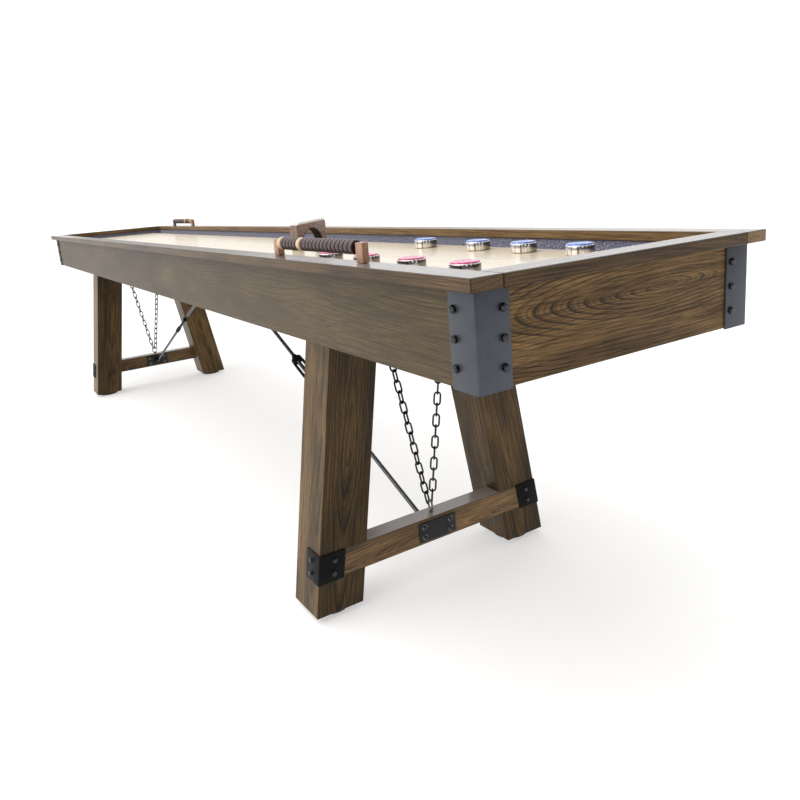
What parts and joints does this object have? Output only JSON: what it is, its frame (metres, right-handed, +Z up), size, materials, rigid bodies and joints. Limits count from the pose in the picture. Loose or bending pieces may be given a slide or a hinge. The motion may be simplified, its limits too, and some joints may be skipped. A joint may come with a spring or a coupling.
{
  "type": "shuffleboard table",
  "caption": "Long wooden shuffleboard table: glossy playfield in a carpeted gutter, A-frame legs with chains and tie rods, sliding pucks and bead scorers.",
  "frame": {"origin": "on the floor under the middle of the table", "axes": "+X along the table to its near end, +Y to its back long side, +Z up"},
  "size_m": [3.6576, 0.6306, 0.8073],
  "materials": {
    "oak": "satin brown stain over open oak grain",
    "maple": "high gloss clear coat",
    "plywood": "raw",
    "carpet": "short blue-grey speckled carpet",
    "bracket_steel": "satin blue-grey",
    "black_steel": "satin black",
    "chrome": "polished",
    "walnut": "satin",
    "bead_wood": "satin dark stain",
    "foot_pad": "matte"
  },
  "bodies": {
    "table": {"side_board_back": "oak", "side_board_front": "oak", "end_board_near": "oak", "end_board_far": "oak", "long_rail_back": "oak", "long_rail_front": "oak", "end_rail_near": "oak", "end_rail_far": "oak", "leg_near_back": "oak", "leg_near_front": "oak", "leg_far_back": "oak", "leg_far_front": "oak", "stretcher_near": "oak", "stretcher_far": "oak", "cabinet_floor": "plywood", "gutter_tray": "carpet", "playfield": "maple", "corner_bracket_near_back": "bracket_steel", "corner_bracket_near_front": "bracket_steel", "corner_bracket_far_back": "bracket_steel", "corner_bracket_far_front": "bracket_steel", "leg_bracket_near_back": "black_steel", "leg_bracket_near_front": "black_steel", "leg_bracket_far_back": "black_steel", "leg_bracket_far_front": "black_steel", "stretcher_plate_outward_near": "black_steel", "stretcher_plate_outward_far": "black_steel", "stretcher_plate_inward_near": "black_steel", "stretcher_plate_inward_far": "black_steel", "eye_bolt_near": "black_steel", "eye_bolt_far": "black_steel", "chain_near_back": "black_steel", "chain_near_front": "black_steel", "chain_far_back": "black_steel", "chain_far_front": "black_steel", "tie_rod_lower_near": "black_steel", "tie_rod_lower_far": "black_steel", "tie_rod_upper_near": "black_steel", "tie_rod_upper_far": "black_steel", "rod_hanger": "black_steel", "scorer_frame_near": "walnut", "scorer_frame_far": "walnut"},
    "puck_blue_1": {"puck_blue_1": "chrome"},
    "puck_blue_2": {"puck_blue_2": "chrome"},
    "puck_blue_3": {"puck_blue_3": "chrome"},
    "puck_blue_4": {"puck_blue_4": "chrome"},
    "puck_red_1": {"puck_red_1": "chrome"},
    "puck_red_2": {"puck_red_2": "chrome"},
    "puck_red_3": {"puck_red_3": "chrome"},
    "puck_red_4": {"puck_red_4": "chrome"},
    "beads_near_outer": {"beads_near_outer": "bead_wood"},
    "beads_near_inner": {"beads_near_inner": "bead_wood"},
    "beads_far": {"beads_far": "bead_wood"},
    "turnbuckle_near": {"turnbuckle_near": "black_steel"},
    "turnbuckle_far": {"turnbuckle_far": "black_steel"},
    "brush_block": {"brush_block": "walnut"},
    "levelling_foot_near_back": {"levelling_foot_near_back": "foot_pad"},
    "levelling_foot_near_front": {"levelling_foot_near_front": "foot_pad"},
    "levelling_foot_far_back": {"levelling_foot_far_back": "foot_pad"},
    "levelling_foot_far_front": {"levelling_foot_far_front": "foot_pad"}
  },
  "joints": [
    {"name": "puck_blue_1_slide", "type": "slide", "parent": "table", "child": "puck_blue_1", "axis": [-1, 0, 0], "range_m": [-0.045, 2.7]},
    {"name": "puck_blue_2_slide", "type": "slide", "parent": "table", "child": "puck_blue_2", "axis": [-1, 0, 0], "range_m": [-0.045, 0.045]},
    {"name": "puck_blue_3_slide", "type": "slide", "parent": "table", "child": "puck_blue_3", "axis": [-1, 0, 0], "range_m": [-0.045, 0.045]},
    {"name": "puck_blue_4_slide", "type": "slide", "parent": "table", "child": "puck_blue_4", "axis": [-1, 0, 0], "range_m": [-0.045, 0.045]},
    {"name": "puck_red_1_slide", "type": "slide", "parent": "table", "child": "puck_red_1", "axis": [-1, 0, 0], "range_m": [-0.045, 2.7]},
    {"name": "puck_red_2_slide", "type": "slide", "parent": "table", "child": "puck_red_2", "axis": [-1, 0, 0], "range_m": [-0.045, 0.045]},
    {"name": "puck_red_3_slide", "type": "slide", "parent": "table", "child": "puck_red_3", "axis": [-1, 0, 0], "range_m": [-0.045, 0.045]},
    {"name": "puck_red_4_slide", "type": "slide", "parent": "table", "child": "puck_red_4", "axis": [-1, 0, 0], "range_m": [-0.045, 0.045]},
    {"name": "beads_near_outer_slide", "type": "slide", "parent": "table", "child": "beads_near_outer", "axis": [1, 0, 0], "range_m": [-0.0038, 0]},
    {"name": "beads_near_inner_slide", "type": "slide", "parent": "table", "child": "beads_near_inner", "axis": [1, 0, 0], "range_m": [0, 0.0038]},
    {"name": "beads_far_slide", "type": "slide", "parent": "table", "child": "beads_far", "axis": [1, 0, 0], "range_m": [-0.004, 0.004]},
    {"name": "turnbuckle_near_turn", "type": "hinge", "parent": "table", "child": "turnbuckle_near", "pos_m": [0.63932, 0, 0.36831], "axis": [-0.9119, 0, 0.4104], "continuous": true},
    {"name": "turnbuckle_far_turn", "type": "hinge", "parent": "table", "child": "turnbuckle_far", "pos_m": [-0.63932, 0, 0.36831], "axis": [0.9119, 0, 0.4104], "continuous": true},
    {"name": "levelling_foot_near_back_turn", "type": "hinge", "parent": "table", "child": "levelling_foot_near_back", "pos_m": [1.1999, 0.258, 0], "axis": [0, 0, 1], "continuous": true},
    {"name": "levelling_foot_near_front_turn", "type": "hinge", "parent": "table", "child": "levelling_foot_near_front", "pos_m": [1.1999, -0.258, 0], "axis": [0, 0, 1], "continuous": true},
    {"name": "levelling_foot_far_back_turn", "type": "hinge", "parent": "table", "child": "levelling_foot_far_back", "pos_m": [-1.1999, 0.258, 0], "axis": [0, 0, 1], "continuous": true},
    {"name": "levelling_foot_far_front_turn", "type": "hinge", "parent": "table", "child": "levelling_foot_far_front", "pos_m": [-1.1999, -0.258, 0], "axis": [0, 0, 1], "continuous": true},
    {"name": "brush_block_lift", "type": "slide", "parent": "table", "child": "brush_block", "axis": [0, 0, 1], "range_m": [0, 0.3]}
  ]
}
